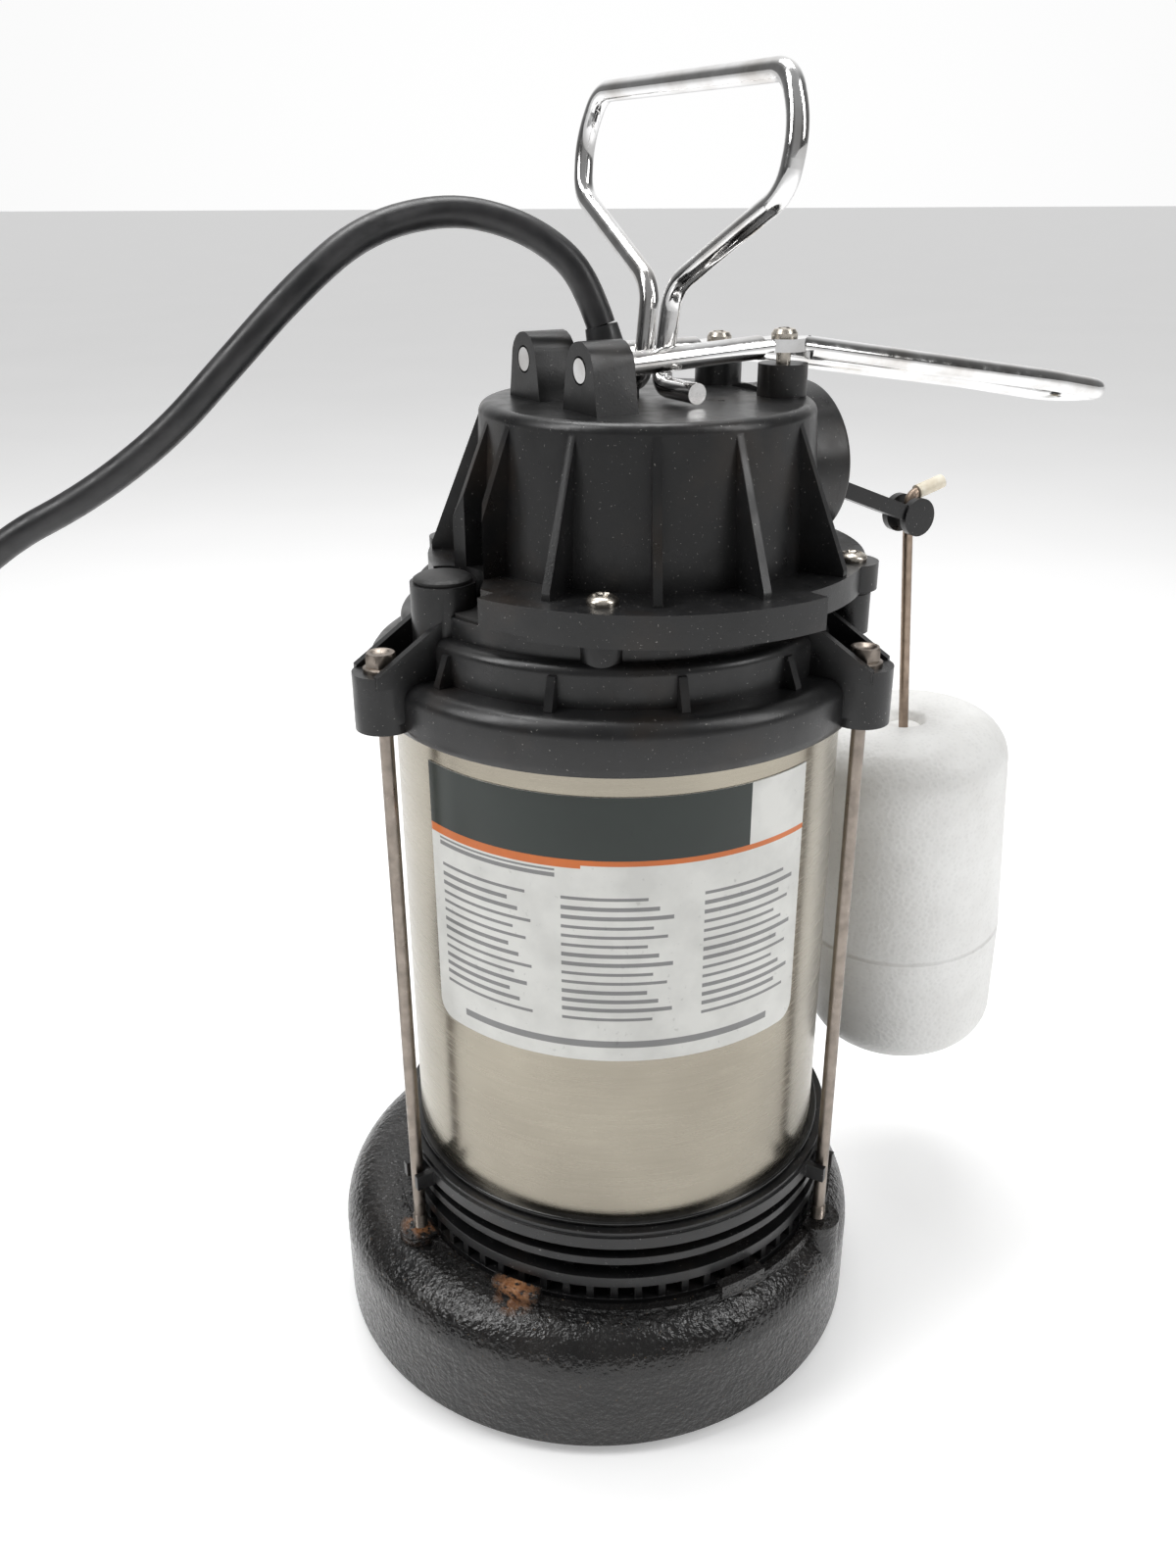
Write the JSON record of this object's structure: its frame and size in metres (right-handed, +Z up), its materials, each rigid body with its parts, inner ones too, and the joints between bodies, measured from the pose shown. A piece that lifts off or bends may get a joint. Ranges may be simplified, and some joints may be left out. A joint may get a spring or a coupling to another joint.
{
  "type": "submersible sump pump",
  "caption": "Round submersible sump pump with a cast base, steel motor shell, tie rods, finned switch cap, rod-guided float, wire guard, carrying bail and power cord",
  "frame": {"origin": "on the motor axis, in the plane that the three feet stand on", "axes": "+Z up along the motor shaft and out of the discharge neck; -Y is the label side; the float hangs on the +X side"},
  "size_m": [0.5623, 0.2337, 0.4065],
  "materials": {
    "painted_iron": "gritty semi-gloss black paint on cast iron, chipped to rust in spots",
    "black_plastic": "glass-filled black moulded plastic, satin",
    "stainless_shell": "brushed stainless tube",
    "steel_hardware": "bright stainless hardware",
    "chrome_wire": "bright chromed steel wire",
    "gasket_rubber": "moulded black rubber",
    "cord_rubber": "smooth black cord jacket",
    "label_film": "printed film, off-white with a dark header",
    "cast_metal": "cast or spun aluminium",
    "lamination_steel": "stacked electrical steel",
    "copper_winding": "lacquered copper wire",
    "contact_brass": "plain brass",
    "rod_bronze": "dull brown bronze rod",
    "seal_ceramic": "ground ceramic face",
    "seal_carbon": "carbon and bellows",
    "switch_plastic": "moulded phenolic",
    "ivory_plastic": "ivory nylon sleeve",
    "float_foam": "closed-cell foam with a pebbled skin"
  },
  "bodies": {
    "root": {"volute_base": "painted_iron", "suction_cover": "black_plastic", "cover_screws": "steel_hardware", "intake_screen": "black_plastic", "seal_plate": "cast_metal", "seal_seat": "seal_ceramic", "lower_gasket": "gasket_rubber", "motor_shell": "stainless_shell", "upper_gasket": "gasket_rubber", "label_plate": "label_film", "lower_bearing": "steel_hardware", "upper_bearing": "steel_hardware", "upper_bracket": "cast_metal", "stator_core": "lamination_steel", "lower_winding": "copper_winding", "upper_winding": "copper_winding", "end_bell": "black_plastic", "oil_plug": "gasket_rubber", "tie_rods": "steel_hardware", "cap_gasket": "gasket_rubber", "switch_cap": "black_plastic", "cap_screws": "steel_hardware", "diaphragm": "gasket_rubber", "housing_ring": "black_plastic", "micro_switch": "switch_plastic", "switch_bracket": "steel_hardware", "capacitor": "cast_metal", "capacitor_clip": "steel_hardware", "terminal_block": "switch_plastic", "guard_loop": "chrome_wire", "guard_screws": "steel_hardware", "cord_gland": "black_plastic", "strain_relief": "cord_rubber", "power_cord": "cord_rubber", "cord_coil": "cord_rubber", "cord_tail": "cord_rubber", "plug_body": "cord_rubber", "plug_blades": "contact_brass"},
    "rotor": {"shaft": "steel_hardware", "rotor_core": "lamination_steel", "lower_end_ring": "cast_metal", "upper_end_ring": "cast_metal", "impeller": "black_plastic", "impeller_nut": "contact_brass", "seal_head": "seal_carbon", "seal_spring": "steel_hardware"},
    "switch_arm": {"float_arm": "black_plastic", "arm_pin": "steel_hardware"},
    "hanging_rod": {"float_rod": "rod_bronze", "hook_sleeve": "ivory_plastic", "float_stop": "gasket_rubber"},
    "float_buoy": {"float": "float_foam"},
    "plunger": {"switch_plunger": "switch_plastic"},
    "bail": {"carry_bail": "chrome_wire"}
  },
  "joints": [
    {"name": "shaft_spin", "type": "hinge", "parent": "root", "child": "rotor", "pos_m": [0, 0, 0.1], "axis": [0, 0, 1], "continuous": true},
    {"name": "arm_lift", "type": "hinge", "parent": "root", "child": "switch_arm", "pos_m": [0.04808, 0.02538, 0.2985], "axis": [0.5075, -0.8616, 0], "range_deg": [0, 25]},
    {"name": "rod_hang", "type": "hinge", "parent": "switch_arm", "child": "hanging_rod", "pos_m": [0.09892, 0.05532, 0.2755], "axis": [0.5075, -0.8616, 0], "range_deg": [-25, 0]},
    {"name": "float_slide", "type": "slide", "parent": "hanging_rod", "child": "float_buoy", "axis": [-0.0796, -0.0469, 0.9957], "range_m": [0, 0.06]},
    {"name": "plunger_press", "type": "slide", "parent": "root", "child": "plunger", "axis": [0, 0, 1], "range_m": [-0.00135, 0]},
    {"name": "bail_swing", "type": "hinge", "parent": "root", "child": "bail", "pos_m": [0.00931, 0.00254, 0.3252], "axis": [0.5075, -0.8616, 0], "range_deg": [-40, 10]}
  ],
  "couplings": [
    {"joint": "rod_hang", "follows": "arm_lift", "ratio": -1},
    {"joint": "plunger_press", "follows": "arm_lift", "m_per_rad": -0.003094}
  ]
}
